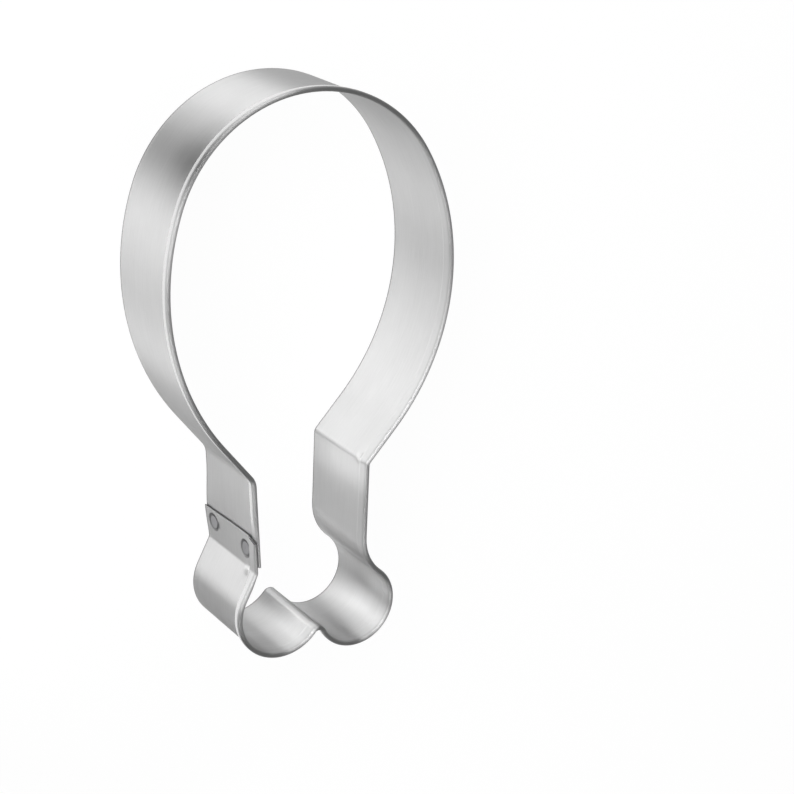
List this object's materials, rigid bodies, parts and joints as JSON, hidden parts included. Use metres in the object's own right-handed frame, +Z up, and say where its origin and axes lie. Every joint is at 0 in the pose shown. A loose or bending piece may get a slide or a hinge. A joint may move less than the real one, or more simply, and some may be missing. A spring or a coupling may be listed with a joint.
{
  "type": "cookie cutter",
  "caption": "Open drumstick-shaped cutter bent from a hemmed tinplate strip whose ends are lapped and spot welded; the plain lower edge cuts rolled dough.",
  "frame": {"origin": "middle of the outline's bounding box, on the table under the cutting edge", "axes": "+Z up from the cutting edge to the hemmed rim; +Y along the shank towards the top of the bulb; X across the drumstick"},
  "size_m": [0.0654, 0.122, 0.0222],
  "materials": {
    "tinplate": "bright tin plating, satin",
    "weld_metal": "pressed and slightly dulled tin plating"
  },
  "bodies": {
    "root": {"cutter_band": "tinplate", "spot_weld_edge_side": "weld_metal", "spot_weld_rim_side": "weld_metal"}
  },
  "joints": []
}
